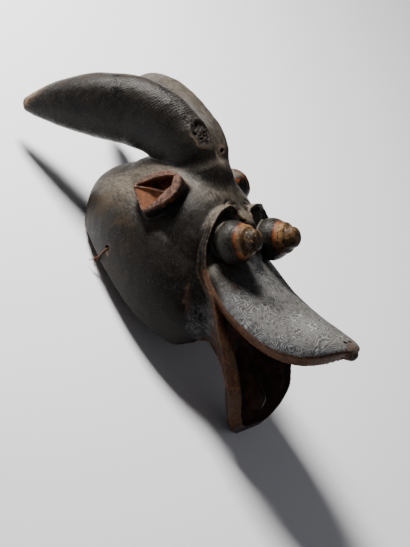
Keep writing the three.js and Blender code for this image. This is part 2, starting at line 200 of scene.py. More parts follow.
# Horns
# Two stout horns, side by side at their feet on the forehead, swept back and apart to blunt ends. Each is
# round and thickest halfway. The left one is a little slimmer in front and stands a little higher behind.
RIGHT_HORN = np.array([  # forward, up and side of the middle line, then half the height and half the width
    [114, 152, 10, 14, 12],
    [107, 155, 13, 27, 19],
    [91, 161, 16, 34, 24],
    [64, 169, 19, 39, 29],
    [31, 169, 24, 43, 32],
    [-6, 159.5, 34, 45, 33],
    [-45, 136.5, 54, 42, 31],
    [-81, 109, 77, 29, 23],
    [-99, 93, 90, 16.5, 14.5],
    [-107, 86, 95, 9.5, 9.5],
])
front = ramp(RIGHT_HORN[:, 0], -60, 0) - ramp(RIGHT_HORN[:, 0], 20, 95)
behind = ramp(-RIGHT_HORN[:, 0], -20, 40) - ramp(-RIGHT_HORN[:, 0], 60, 107)
LEFT_HORN = RIGHT_HORN + np.stack([0 * front, 4 * behind, -4 * front, -4 * front, -front], axis=1)
HORN_BODY = 0.97  # the share of a horn's length before its end rounds off
END_REACH = 4.3  # mm
END_TURN = math.radians(66)


def through(points, t, closed=False):
    """Places along an even-paced curve through the points."""
    points = np.asarray(points, float)
    count = len(points)
    spans = count if closed else count - 1
    pace = np.asarray(t, float) * spans
    first = np.minimum(np.floor(pace).astype(int), spans - 1)
    share = (pace - first)[..., None]
    if closed:
        p0, p1, p2, p3 = (points[(first + k) % count] for k in (-1, 0, 1, 2))
    else:
        ends = np.concatenate([[2 * points[0] - points[1]], points, [2 * points[-1] - points[-2]]])
        p0, p1, p2, p3 = (ends[first + k] for k in range(4))
    chords = ((p0, p1), (p1, p2), (p2, p3))
    gap = [np.sqrt(np.linalg.norm(b - a, axis=-1, keepdims=True)) + 1e-9 for a, b in chords]
    leave = ((p1 - p0) / gap[0] - (p2 - p0) / (gap[0] + gap[1]) + (p2 - p1) / gap[1]) * gap[1]
    arrive = ((p2 - p1) / gap[1] - (p3 - p1) / (gap[1] + gap[2]) + (p3 - p2) / gap[2]) * gap[1]
    bend = -3 * p1 + 3 * p2 - 2 * leave - arrive
    return p1 + leave * share + bend * share ** 2 + (2 * p1 - 2 * p2 + leave + arrive) * share ** 3


def along(stations, t):
    """The stations' values, each eased along the form from the first station to the last."""
    stations = np.asarray(stations, float)
    paces = np.arange(len(stations))
    return [through(np.stack([paces, column], axis=1), t)[..., 1] for column in stations.T]


def unit(vectors):
    return vectors / np.linalg.norm(vectors, axis=-1, keepdims=True)


UPRIGHT = np.array([0, math.sin(REST_PITCH), math.cos(REST_PITCH)])


def horn_place(stations, hand):
    def middle(t):
        forward, up, side, _, _ = along(stations, t)
        return at(forward, up, hand * side)

    def place(t, turn):
        body = np.minimum(t / HORN_BODY, 1)
        tip = np.clip((t - HORN_BODY) / (1 - HORN_BODY), 0, 1) * END_TURN
        _, _, _, tall, wide = along(stations, body)
        run = unit(middle(np.minimum(body + 0.02, 1)) - middle(np.maximum(body - 0.02, 0)))
        across = unit(np.cross(UPRIGHT, run))
        upward = np.cross(run, across)
        swing = (wide * np.cos(turn) * np.cos(tip))[:, None] / 1000
        lift = (tall * np.sin(turn) * np.cos(tip))[:, None] / 1000
        onward = (END_REACH * np.sin(tip))[:, None] / 1000
        return middle(body) + across * swing + upward * lift + run * onward

    return place


horn_places = {"left_horn": horn_place(LEFT_HORN, 1), "right_horn": horn_place(RIGHT_HORN, -1)}
for name, place in horn_places.items():
    forms.append(drawn_ball(name, 72, 120, place))

# Face
# A leaf-shaped shield that leans forward: its edge is the brows above and the lip of the lower jaw below, and
# inside the edge it is dished, for the eyes above and for the open mouth below.
FACE_PITCH = math.radians(40)
FACE_FORWARD = 262
FACE_UP = 93.5
EDGE = np.array([  # side, up and forward
    [0, 84, -12], [9, 90, -13], [14, 102, -20], [24, 107, -19], [34, 108, -16.5], [48, 101, -21],
    [66, 80, -22.5], [70, 55, -28], [70, 30, -28], [75, 0, -15], [76, -35, -6], [72, -69, 0],
    [64.5, -119, 4], [52, -148, -4], [30, -170, -15], [0, -178, -27],
])
MOUTH_MIDDLE = -30


def in_face(forward, up, side=0.0):
    """A place in the face's own leaning frame, measured from midway between the corners of the mouth."""
    c, s = math.cos(FACE_PITCH), math.sin(FACE_PITCH)
    return at(FACE_FORWARD + forward * c - up * s, FACE_UP + forward * s + up * c, side)


def edge_at(s):
    """Side, up and forward of the shield's edge, s from 0 on the forehead to 1 at the chin, and reflected."""
    back = np.where(s < 0, -s, np.where(s > 1, 2 - s, s))
    side, up, forward = along(EDGE, back)
    return np.where((s < 0) | (s > 1), -side, side), up, forward


def edge_ring(s, inset, draw, forward_of):
    side, up, forward = edge_at(s)
    ahead, after = edge_at(s - 0.02), edge_at(s + 0.02)
    run = unit(np.stack([after[0] - ahead[0], after[1] - ahead[1]], axis=-1))
    moved = inset(up)
    keep = 1 - draw(up)
    x = (side + run[:, 1] * moved) * keep
    y = between(MOUTH_MIDDLE, up - run[:, 0] * moved, keep)
    return np.stack([forward_of(forward, up), y, x], axis=-1)


def cheek(up):
    return ramp(up, -112, -10)


def belly(up):
    return ramp(up, -150, -95) - ramp(up, -95, -62)


def cut_back(up):
    """How far the lower jaw's lip is cut back outwards, so that its broad edge faces half to the side."""
    return ramp(-up, 8, 90)


def lip(jaw, brow, more=0):
    return lambda up: (between(jaw, brow, ramp(up, -10, 40)) + more * cut_back(up)
                       + 10 * (ramp(up, -60, -22) - ramp(up, -5, 30)))


def drawn(jaw, brow):
    return lambda up: between(jaw, brow, cheek(up))


def sunk(share):
    return lambda forward, up: between(forward, -24 + 9 * ramp(up, 50, 82), share)


def plain(value):
    return lambda up: value + 0 * up


def brink(forward, up):
    return forward + 10 * cut_back(up)


FACE_RINGS = [  # how far in from the edge, how far drawn in to the mouth's middle, and how far forward
    (plain(0), drawn(0.7, 0.5), lambda forward, up: between(-39, -75, ramp(up, -75, 0))),
    (plain(0), drawn(0.35, 0.12),
     lambda forward, up: between(forward - between(20, 31, belly(up)), -65, cheek(up))),
    (plain(0), drawn(0.16, 0.02), lambda forward, up: forward - between(14, 18, belly(up))),
    (plain(0), drawn(0.05, 0), lambda forward, up: forward - 7 - 2 * cut_back(up)),
    (plain(0), plain(0), lambda forward, up: forward - 4 * cut_back(up)),
    (lip(7, 2, 3), plain(0), brink),
    (lip(11, 4, 2), plain(0), lambda forward, up: brink(forward, up) - between(6, 3, cheek(up))),
    (lip(11, 6, 2), drawn(0.2, 0.1), sunk(0.4)),
    (lip(11, 8), drawn(0.52, 0.2), sunk(0.85)),
    (lip(11, 8), drawn(0.8, 0.5), sunk(1)),
]


def face_place(t, turn):
    s = np.abs(turn) / math.pi
    rings = np.stack([edge_ring(s, *ring) for ring in FACE_RINGS])
    pace = t * (len(FACE_RINGS) - 1)
    first = np.minimum(np.floor(pace).astype(int), len(FACE_RINGS) - 2)
    share = (pace - first)[:, None]
    vertex = np.arange(len(t))
    forward, up, side = between(rings[first, vertex], rings[first + 1, vertex], share).T
    return in_face(forward, up, side * np.where(turn < 0, -1, 1))


forms.append(drawn_ball("face", 240, 72, face_place))

# Nose
# The flat-topped ridge that runs from the forehead down between the eyes and spreads on to the upper jaw. It
# was left standing when the wood beside it was cut away.
NOSE = np.array([  # forward and up of its crest, half its width there and half its width at its foot
    [-62, 168, 16, 44], [-48, 152, 18, 48], [-41, 132, 17, 46], [-25, 106, 10, 30],
    [-6, 84, 7, 18], [0, 60, 7, 15], [4, 36, 9, 18], [7, 12, 14, 24],
])


def ridged(corners):
    """A form whose section has straight sides between corners(t), each forward, up and side."""
    def place(t, turn):
        points = np.stack([np.stack(np.broadcast_arrays(*corner), axis=-1) for corner in corners(t)])
        pace = (turn % math.tau) / math.tau * len(points)
        first = np.minimum(np.floor(pace + 1e-6).astype(int), len(points) - 1)
        vertex = np.arange(len(t))
        share = (pace - first)[:, None]
        return in_face(*between(points[first, vertex], points[(first + 1) % len(points), vertex], share).T)
    return place


def nose_corners(t):
    forward, up, crest, foot = along(NOSE, t)
    return [
        (forward, up, 0 * up),
        (forward - 1, up - 1, crest),
        (forward - 12, up - 8, foot * 0.7),
        (forward - 34, up - 20, foot),
        (forward - 40, up - 24, 0 * up),
        (forward - 34, up - 20, -foot),
        (forward - 12, up - 8, -foot * 0.7),
        (forward - 1, up - 1, -crest),
    ]


forms.append(drawn_ball("nose", 64, 60, ridged(nose_corners)))

# Upper jaw
# A broad bill, arched across and as thick as a plank, that starts under the eyes and ends in a snub knob. The
# mouth below it was cut open right through to its corners.
BILL = np.array([  # forward and up of its crest, then forward, up and side of its lip
    [-13, 46, -35, 32, 66], [-3, 34, -26, 19, 71], [8, 20, -14, 2, 75], [21, 5, 1, -15, 78],
    [44, -13, 31, -39, 80], [67, -26, 58, -57, 77], [91, -37, 80, -67, 70], [112, -46, 102, -72, 57],
    [128, -53, 118, -71, 41], [136, -58, 129, -68, 27], [141, -63, 137, -66, 14],
])
JAW_THICKNESS = 12


def bill_place(t, across, depth):
    crest_forward, crest_up, lip_forward, lip_up, lip_side = along(BILL, t)
    turn = (across - 0.5) * math.pi
    high = squared(np.cos(turn), 0.95)
    narrow = np.where(depth > 0, 1 - depth / np.maximum(lip_side, 2 * depth + 1e-9), 1)
    return in_face(between(lip_forward, crest_forward, high) - 0.55 * depth,
                   between(lip_up, crest_up, high) - 0.83 * depth,
                   lip_side * np.sin(turn) * narrow)


BILL_ROWS = 110
BILL_COLUMNS = 120
SNUB_RADIUS = 9
pick()
bpy.ops.mesh.primitive_grid_add(x_subdivisions=BILL_COLUMNS, y_subdivisions=BILL_ROWS, size=2)
bill = bpy.context.object
bill.name = "bill"
edit_all(bpy.ops.mesh.extrude_region_move)
inner = np.zeros(len(bill.data.vertices), bool)
bill.data.vertices.foreach_get("select", inner)
flat = (vertices_of(bill) + 1) / 2
put(bill, bill_place(flat[:, 1], flat[:, 0], np.where(inner, JAW_THICKNESS, 0)))
face_outwards(bill)
forms.append(bill)

snub = in_face(134, -68)


def snub_place(t, turn):
    polar = t * math.pi
    wide, deep, long = 1.25 * np.sin(polar) * np.cos(turn), np.sin(polar) * np.sin(turn), 0.9 * np.cos(polar)
    return snub + np.stack([wide, deep, long], axis=-1) * (SNUB_RADIUS / 1000)


forms.append(drawn_ball("bill_end", 36, 24, snub_place))

# Eyes
# Turned-looking tubes that stick out under the brows: a swelling barrel, scored rings round a narrower neck
# and a round knob at the end.
EYE_SPREAD = 43
EYE_UP = 64
EYE_RISE = math.radians(6)
EYE_OUTLINE = np.array([  # radius and place along the eye
    [0.5, -44], [15, -44], [18, -24], [24, -16], [26.4, -11], [27, -7], [26.6, -3], [25.4, 1], [23.6, 5],
    [21.7, 8.6], [21.2, 9.3], [20.1, 9.8], [20.2, 11], [19.8, 15], [19, 16.6], [17.9, 17.2], [17.5, 18],
    [15.9, 18.5], [14.8, 19], [14.1, 20], [13.8, 22], [13.8, 23], [13.3, 26], [11.9, 28.6], [9.3, 30.5],
    [5.2, 31.4], [0.5, 31.5],
])
eye_out = unit(in_face(math.cos(EYE_RISE), math.sin(EYE_RISE)) - in_face(0, 0))


def eye_place(hand):
    foot = in_face(0, EYE_UP, hand * EYE_SPREAD)
    aside = np.array([1.0, 0, 0])
    upward = np.cross(eye_out, aside)

    def place(t, turn):
        radius, out = through(EYE_OUTLINE, t).T
        spoke = aside * np.cos(turn)[:, None] + upward * np.sin(turn)[:, None]
        return foot + (eye_out * out[:, None] + spoke * radius[:, None]) / 1000

    return place


for name, hand in (("left_eye", 1), ("right_eye", -1)):
    forms.append(drawn_ball(name, 96, 130, eye_place(hand)))

# Ears
# Cupped lozenges that stand off the dome's sides. Each face is hollowed to a deep pit above a ridge and to a
# sloping facet below it.
EAR_THICKNESS = 36
EAR_CORNERS = [  # along and across its face
    [-32, 4], [-21, 18], [-2, 29], [12, 31], [25, 25], [29, 14], [27, 2], [17, -11], [1, -23], [-8, -27],
    [-13, -24], [-22, -11],
]
EAR_PIT = [  # along, across and deep
    [-29, 6, 2], [-9, 18, 17], [7, 24, 17], [18, 25, 17], [18, 11, 17], [11, 1.5, 9], [-10, 4, 4],
]
EAR_FACET = [
    [-35, 3.5, 0.3], [-10, 3.5, 4], [11, 1, 9], [3, -12, 8], [-6, -22.5, 4], [-15, -28, 2], [-25, -14, 1],
]
CUT_ABOVE = 6  # mm that the cutters stand above the ear's face
ear_foot = in_face(-91, 124, 87.5)
ear_out = unit(in_face(0.19, 0.45, 0.85) - in_face(0, 0))
ear_along = in_face(1, 0) - in_face(0, 0)
ear_along = unit(ear_along - ear_out * (ear_along @ ear_out))
ear_across = np.cross(ear_along, ear_out)


def in_ear(x, y, out, hand):
    x, y, out = (np.asarray(value, float)[..., None] for value in (x, y, out))
    return (ear_foot + (ear_along * x + ear_across * y + ear_out * out) / 1000) * np.array([hand, 1, 1])


def ear_place(hand):
    def place(t, turn):
        outline = through(EAR_CORNERS, (turn % math.tau) / math.tau, closed=True)
        out = np.interp(t, [0, 0.4, 0.7, 0.85, 1], [-EAR_THICKNESS, -8, -2, -0.6, 0])
        inset = np.interp(t, [0, 0.4, 0.7, 0.85, 1], [-1, -1, 0, 0.6, 1.8])
        keep = 1 - inset / np.linalg.norm(outline, axis=-1)
        return in_ear(outline[:, 0] * keep, outline[:, 1] * keep, out, hand)
    return place


for name, hand in (("left_ear", 1), ("right_ear", -1)):
    forms.append(drawn_ball(name, 120, 30, ear_place(hand)))


def prism(name, low, high):
    """A block between two outlines of equally many corners, to cut with."""
    pick()
    bpy.ops.mesh.primitive_circle_add(vertices=len(low), fill_type="NGON")
    block = bpy.context.object
    block.name = name
    edit_all(bpy.ops.mesh.extrude_region_move)
    raised = np.zeros(len(block.data.vertices), bool)
    block.data.vertices.foreach_get("select", raised)
    places = vertices_of(block)
    places[~raised] = low
    places[raised] = high
    put(block, places)
    edit_all(bpy.ops.mesh.quads_convert_to_tris)
    edit_all(bpy.ops.mesh.subdivide, number_cuts=5)
    face_outwards(block)
    return block


drills = []
for hand in (1, -1):
    for name, corners in (("ear_pit", EAR_PIT), ("ear_facet", EAR_FACET)):
        x, y, depth = np.array(corners, float).T
        drills.append(prism(name, in_ear(x, y, -depth, hand), in_ear(x, y, CUT_ABOVE + 0 * x, hand)))

# Tongue
# A keel that rises from the floor of the lower jaw and tapers forward to a blunt end, left standing when the
# mouth was cut out.
TONGUE = np.array([  # forward and up of its crest, half its width there and half its width at its foot
    [-40, -46, 13, 22], [-24, -69, 12, 21], [-8, -95, 9, 18], [6, -118, 5, 13], [12, -130, 2.5, 9],
    [6, -144, 2, 6],
])
JAW_FLOOR = -34


def tongue_corners(t):
    forward, up, crest, foot = along(TONGUE, t)
    middle = between(forward, JAW_FLOOR, 0.5)
    half = between(crest, foot, 0.8)
    return [
        (forward, up, crest),
        (middle, up - 3, half),
        (JAW_FLOOR + 0 * up, up - 6, foot),
        (JAW_FLOOR + 0 * up, up - 6, -foot),
        (middle, up - 3, -half),
        (forward, up, -crest),
    ]


forms.append(drawn_ball("tongue", 48, 60, ridged(tongue_corners)))

# Hollow and holes
# The room for the head, hollowed out from below to a wall of about 13 mm, a hole through the rim on each
# side, two nostrils in the snub end and one hole between the feet of the horns.
RIM_HOLE_FORWARD = 108
RIM_HOLE_UP = 35
RIM_HOLE_RADIUS = 3.6
NOSTRIL_RADIUS = 2.7
HORN_HOLE_RADIUS = 2.8
ROOM_RINGS = 60
BELOW_RIM = 120  # mm that the cutter reaches down, out of the rim


def head_room(t, turn):
    rise = np.maximum(0, (t * ROOM_RINGS - 1) / (ROOM_RINGS - 1))
    places = dome_place(rise * CROWN, turn, WALL)
    return np.where((t == 0)[:, None], places + (at(0, -BELOW_RIM) - at(0, 0)), places)


def drilled(name, radius, start, end):
    run = Vector(end - start)
    pick()
    bpy.ops.mesh.primitive_cylinder_add(vertices=24, radius=radius / 1000, depth=run.length)
    rod = bpy.context.object
    rod.name = name
    turned = run.to_track_quat("Z", "Y").to_matrix().to_4x4()
    rod.data.transform(Matrix.Translation(Vector(start + end) / 2) @ turned)
    return rod


room = drawn_ball("head_room", 96, ROOM_RINGS, head_room)
drills.append(drilled("horn_hole", HORN_HOLE_RADIUS, in_face(-38, 181, 8), in_face(-74, 168, 8)))
for hand in (1, -1):
    drills.append(drilled("nostril", NOSTRIL_RADIUS, in_face(132, -49, hand * 5.5),
                          in_face(124, -65, hand * 5.5)))
    drills.append(drilled("rim_hole", RIM_HOLE_RADIUS, at(RIM_HOLE_FORWARD, RIM_HOLE_UP, hand * 70.0),
                          at(RIM_HOLE_FORWARD, RIM_HOLE_UP, hand * 130.0)))


def meet(a, b):
    low_a, high_a, low_b, high_b = a.min(axis=0), a.max(axis=0), b.min(axis=0), b.max(axis=0)
    return bool(np.all(low_a < high_b) and np.all(low_b < high_a))


def finish_modifier(form, modifier):
    bpy.context.view_layer.objects.active = form
    bpy.ops.object.modifier_apply(modifier=modifier.name)


def cut_out(form, cutter):
    cut = form.modifiers.new("cut", "BOOLEAN")
    cut.operation = "DIFFERENCE"
    cut.solver = "EXACT"
    cut.object = cutter
    finish_modifier(form, cut)


for form in forms:
    if meet(vertices_of(form), vertices_of(room)):
        cut_out(form, room)
bpy.data.objects.remove(room)

# The block
# Everything so far is one piece of wood, so the forms are joined to one skin. Its inner corners are eased as
# a carver's gouge leaves them, and its edges are worn.
COARSE_STEP = 0.0022
SKIN_STEP = 0.0013
EASINGS = round(9 * (COARSE_STEP / SKIN_STEP) ** 2)
DRESSINGS = round(40 * (COARSE_STEP / SKIN_STEP) ** 2)

pick(*forms)
mask = forms[0]
bpy.ops.object.join()
mask.name = "carved_mask"
mask.data.name = "carved_mask"
skin = mask.modifiers.new("skin", "REMESH")
skin.mode = "VOXEL"
skin.voxel_size = SKIN_STEP
finish_modifier(mask, skin)


def edges_of(form):
    pairs = np.empty(len(form.data.edges) * 2, np.int32)
    form.data.edges.foreach_get("vertices", pairs)
    return pairs.reshape(-1, 2)


def neighbours_mean(values, pairs, count):
    """The mean of each vertex's neighbours, for one column of values or for several."""
    values = values.reshape(len(values), -1)
    a, b = pairs.T
    ends = np.concatenate([a, b])
    others = np.concatenate([b, a])
    total = np.stack([np.bincount(ends, values[others, k], count) for k in range(values.shape[1])], axis=1)
    return total / np.maximum(np.bincount(ends, minlength=count), 1)[:, None]


def worn_frames(places):
    """Each place as forward, up and side as worn, and the same in the face's leaning frame, in mm."""
    side = places[:, 0] * 1000
    y = REST_BACK - places[:, 1] * 1000
    z = places[:, 2] * 1000 + REST_DROP
    c, s = math.cos(REST_PITCH), math.sin(REST_PITCH)
    forward, up = y * c + z * s, z * c - y * s
    c, s = math.cos(FACE_PITCH), math.sin(FACE_PITCH)
    ahead, above = forward - FACE_FORWARD, up - FACE_UP
    return forward, up, side, ahead * c + above * s, above * c - ahead * s


def near(places, middle, radius):
    """1 at the middle and 0 beyond the radius, in mm."""
    return 1 - ramp(np.linalg.norm(places - middle, axis=1) * 1000, 0, radius)


places = vertices_of(mask)
pairs = edges_of(mask)
count = len(places)
forward, up, side, face_forward, face_up = worn_frames(places)

# Soft where horns, brows and dome run into each other, crisp at the ears, the eyes' rings and the jaws' lips
foot_of_horns = ramp(forward, -10, 30) * ramp(np.abs(side), 84, 60) * (1 - ramp(np.abs(up - 150), 16, 40))
brow_root = ramp(face_up, 60, 95) * (1 - ramp(np.abs(face_forward + 52), 12, 30))
soft = np.clip(0.1 + 0.06 * foot_of_horns + 0.3 * brow_root, 0, 1)
crisp = np.zeros(count)
for hand in (1, -1):
    crisp = np.maximum(crisp, ramp(near(places, ear_foot * [hand, 1, 1], 70), 0.05, 0.33))
    crisp = np.maximum(crisp, ramp(near(places, in_face(14, EYE_UP, hand * EYE_SPREAD), 50), 0.1, 0.4))
crisp = np.maximum(crisp, ramp(face_forward, -26, -16) * (1 - ramp(face_up, 40, 60)))
nose_foot = ramp(near(places, in_face(6, 24), 34), 0.1, 0.6)
crisp = crisp * (1 - nose_foot)
soft = np.maximum(soft, nose_foot)
soft = (soft * (1 - crisp) + 0.03 * crisp)[:, None]
for _ in range(EASINGS):
    places = places + soft * 0.6 * (neighbours_mean(places, pairs, count) - places)

# The forehead between the horns' feet and the brows is dressed smooth
forehead = np.zeros(count)
for hand in (1, -1):
    forehead = np.maximum(forehead, ramp(near(places, in_face(-53, 142, hand * 30), 42), 0.05, 0.5))
on_forehead = forehead > 0
dressed = pairs[on_forehead[pairs[:, 0]] | on_forehead[pairs[:, 1]]]
for _ in range(DRESSINGS):
    moved = neighbours_mean(places, dressed, count)[on_forehead] - places[on_forehead]
    places[on_forehead] += 0.7 * forehead[on_forehead, None] * moved

# Carver's marks
# What the gouge, the knife and use have left: shallow scoops all over, scored lines round brows and cheeks, a
# dent in the upper jaw, a broken knot at the foot of the right horn, and chips along the rim and the lips.
SCOOP_SHARE = 90  # one scoop for so many vertices
SCOOP_REACH = 9
FAR = 99.0


def tree_of(places):
    tree = kdtree.KDTree(len(places))
    for k, place in enumerate(places):
        tree.insert(Vector(place), k)
    tree.balance()
    return tree


def gaps(tree, places, where):
    """How far the places that are asked for are from the nearest one in the tree, in mm."""
    gap = np.full(len(places), FAR)
    for k in np.nonzero(where)[0]:
        gap[k] = tree.find(Vector(places[k]))[2] * 1000
    return gap


put(mask, places)
random.seed(7)
scoops = tree_of(places[random.sample(range(count), count // SCOOP_SHARE + 1)])
scoop = np.clip(gaps(scoops, places, np.ones(count)) / SCOOP_REACH, 0, 1) ** 2


def wander(places, size, seed):
    """Smooth unevenness from -1 to 1 whose swells are about that many mm across."""
    return np.array([noise.noise(Vector(place) * (1000 / size) + Vector((seed, 0, 0))) for place in places])


def line_at(value, middle, width):
    """1 where the value is at the middle, falling off to nothing within about twice the width."""
    return np.exp(-((value - middle) / width) ** 2)


sink = 0.32 * (0.6 - scoop)
sink += 0.55 * wander(places, 55, 3.1) + 0.22 * wander(places, 16, 8.7)
sink *= 1 - 0.75 * crisp

# Scored lines that follow the back of the shield's edge down brow and cheek
edge_side, edge_up, edge_forward = edge_at(np.linspace(0, 1, 500))
edge_tree = tree_of(np.stack([edge_side, edge_up, 0 * edge_up], axis=1))


def beside_edge(side, face_forward, face_up, front):
    """How far each place is from the shield's edge, seen from the front, and how far behind it, in mm."""
    from_edge, behind_edge = np.full(len(side), FAR), np.full(len(side), FAR)
    for k in np.nonzero((face_forward > -60) & (face_forward < front))[0]:
        _, nearest, from_edge[k] = edge_tree.find(Vector((abs(side[k]), face_up[k], 0)))
        behind_edge[k] = edge_forward[nearest] - face_forward[k]
    return from_edge, behind_edge


from_edge, behind_edge = beside_edge(side, face_forward, face_up, 20)
on_flank = (1 - ramp(from_edge, 5, 9)) * ramp(face_up, -60, -30)
for line in (3.2, 7.4, 11.8):
    sink += 0.75 * on_flank * line_at(behind_edge, line, 0.9)

# Dent across the middle of the upper jaw
sink += 3.2 * near(places, in_face(48, -16, -18), 24) + 1.6 * near(places, in_face(52, -18, 16), 26)
sink -= 0.9 * near(places, in_face(84, -36, -12), 32)

# Broken knot, and torn wood behind it
KNOT = at(86, 201, -21)
TORN = at(68, 203, -27)


def knot_distance(places):
    """How far each place is from the knot's middle, in mm, for a knot that is longer than wide and uneven."""
    return np.linalg.norm((places - KNOT) * [1, 0.8, 1.25], axis=1) * 1000 + 3.5 * wander(places, 11, 1.7)


from_knot = knot_distance(places)
on_horn = (side < 4) & (up > 175)
crackle = np.abs(wander(places, 5, 4.2))
sink += on_horn * (1 - ramp(from_knot, 9, 16)) * (2.6 + 3.8 * crackle)
sink -= on_horn * 0.7 * line_at(from_knot, 17.5, 2.0)
sink += on_horn * near(places, TORN, 17) * (0.6 + 4.5 * crackle)

# Chips along the dome's rim and the jaws' lips
CHIPS = [  # middle, radius and depth
    (at(267, 20, -62), 7, 2.4), (at(150, 2, -99), 4, 1.0), (at(236, -2, 84), 5, 1.4),
    (at(40, 17, -64), 5, 1.2), (at(12, 15, 20), 4, 1.0), (at(112, 29, -99), 5, 1.2),
    (in_face(131, -74, -13), 6, 2.2), (in_face(30, -40, -80), 4, 0.8), (in_face(76, -66, 72), 5, 1.1),
    (in_face(-18, 98, -50), 4, 0.9), (in_face(27, 55, 30), 5, 1.3), (in_face(28, 58, 52), 4, 1.0),
]
for middle, radius, depth in CHIPS:
    sink += depth * near(places, middle, radius)


# Scored rings round the eyes
def along_eyes(places, side):
    """How far out each place on an eye is along it, in mm. Every other place is far behind."""
    far_out = np.full(len(places), -60.0)
    for hand in (1, -1):
        foot = in_face(0, EYE_UP, hand * EYE_SPREAD)
        out = (places - foot) @ eye_out * 1000
        radius = np.linalg.norm((places - foot) - np.outer(out / 1000, eye_out), axis=1) * 1000
        on_eye = (radius < 28.5) & (out > -14) & (out < 33) & (side * hand > 0) & (np.abs(side) > 14)
        far_out = np.where(on_eye, out, far_out)
    return far_out


uneven = along_eyes(places, side) + wander(places, 20, 5.5)
for line, width, depth in ((4.6, 0.8, 0.5), (13, 0.7, 0.7), (24.5, 0.6, 0.4)):
    sink += depth * line_at(uneven, line, width)

INSIDE_BOX = 2e-5
places = places - vertices_of(mask, "normal") * (sink / 1000)[:, None]
low, high = (np.array(corner) for corner in cad_box)
places = np.clip(places, low + [INSIDE_BOX, INSIDE_BOX, 0], high - INSIDE_BOX)
put(mask, places)

# Thinned where the surface is even, so that the marks keep the most faces
MOST_FACES = 190000
SHARP = math.radians(58)
pick(mask)
faces = 2 * len(mask.data.polygons)
if faces > MOST_FACES:
    thin = mask.modifiers.new("thin", "DECIMATE")
    thin.ratio = MOST_FACES / faces
    finish_modifier(mask, thin)
for drill in drills:
    cut_out(mask, drill)
    bpy.data.objects.remove(drill)
bpy.ops.object.shade_smooth_by_angle(angle=SHARP)

# Patina
# Hardwood blackened by smoke, soot and handling, and greyed on top by dust and by painted light. Wear has
# opened it to red-brown wood along the lips, the edges and the horns' ends, and old red and ochre pigment is
# left in the ears and round the eyes. Painted shade darkens its undersides, creases, ear pits and the dent in
# the upper jaw, and painted light greys the lower jaw's flanks. First comes where each of these lies, from 0
# to 1 at each vertex.
UPRIGHT_FACE = np.array(overhead)
places = vertices_of(mask)
pairs = edges_of(mask)
count = len(places)
normals = vertices_of(mask, "normal")
forward, up, side, face_forward, face_up = worn_frames(places)

# Worn edges, and painted shade in creases and hollows
mean = neighbours_mean(places, pairs, count)
spread = np.linalg.norm(places[pairs[:, 0]] - places[pairs[:, 1]], axis=1).mean()
bulge = np.einsum("ij,ij->i", places - mean, normals) / spread
for _ in range(3):
    bulge = 0.4 * bulge + 0.6 * neighbours_mean(bulge, pairs, count)[:, 0]
edge_wear = ramp(bulge, 0.03, 0.16)
crease = ramp(-bulge, 0.02, 0.14)
# Three pin holes, too small for the mesh, are painted as dark dots: painted shade
for pin_hole in (at(203, 102, -73), at(213, 45, -103), at(178, 66, -99)):
    crease = np.maximum(crease, ramp(near(places, pin_hole, 4.5), 0.2, 0.6))

# Lips, brows and scored lines
from_edge, behind_edge = beside_edge(side, face_forward, face_up, 24)
jaw_lip = (1 - ramp(from_edge, 11, 14.5)) * (1 - ramp(behind_edge, 2.5, 5.5)) * (1 - ramp(face_up, -16, 4))
# The left lip gets only about half of the worn brown: painted shade
jaw_lip *= ramp(behind_edge, -13.5, -12) * between(1, 0.45, ramp(side, -10, 10))
score = np.max([line_at(behind_edge, line, 1.2) for line in (1.4, 5.3, 9.6)], axis=0)
score *= (1 - ramp(from_edge, 5, 9)) * ramp(face_up, -60, -30)
brow_crest = (1 - ramp(from_edge, 1.5, 4)) * (1 - ramp(np.abs(behind_edge), 1, 4)) * ramp(face_up, -30, 30)
lip_steps = np.linspace(0.02, 1, 240)
lip_places = []
for edge in (0, 1):
    outer, under = (bill_place(lip_steps, edge + 0 * lip_steps, depth + 0 * lip_steps)
                    for depth in (0, JAW_THICKNESS))
    lip_places += [between(outer, under, share) for share in (0, 0.2, 0.4, 0.6, 0.8, 1)]
beside_bill = (face_forward > -40) & (face_up < 40)
bill_lip = 1 - ramp(gaps(tree_of(np.concatenate(lip_places)), places, beside_bill), 3.0, 4.6)
lip_band = np.clip(jaw_lip + bill_lip, 0, 1)

# The ears' faces, pits and facets
ear_face, ear_depth, ear_facet = np.zeros((3, count))
outline = through(EAR_CORNERS, np.linspace(0, 1, 240, endpoint=False), closed=True)
outline_angle = np.arctan2(outline[:, 1], outline[:, 0])
order = np.argsort(outline_angle)
outline_reach = np.linalg.norm(outline, axis=1)
for hand in (1, -1):
    mirrored = np.array([hand, 1, 1])
    local = (places - ear_foot * mirrored) * 1000
    out, lengthways, crosswise = (local @ (axis * mirrored) for axis in (ear_out, ear_along, ear_across))
    reach = np.hypot(lengthways, crosswise)
    angle = np.arctan2(crosswise, lengthways)
    radius = np.interp(angle, outline_angle[order], outline_reach[order], period=math.tau)
    within = (reach < radius + 0.8) & (out > -19)
    facing = ramp(normals @ (ear_out * mirrored), 0.05, 0.5)
    carved = np.maximum(facing * ramp(out, -9, -6), ramp(-out, 0.8, 1.6) * (reach < radius - 1.5))
    ear_face = np.where(within, np.maximum(ear_face, carved), ear_face)
    in_pit = within & ((crosswise > 3) | (lengthways > 11))
    # Deep in the pit it is painted dark, as painted shade, with orange pigment left over it in places
    ear_depth = np.where(in_pit, ramp(-out, 2, 7), ear_depth)
    ear_facet = np.where(within & (reach < radius - 2), ramp(-out, 0.6, 2.5), ear_facet)

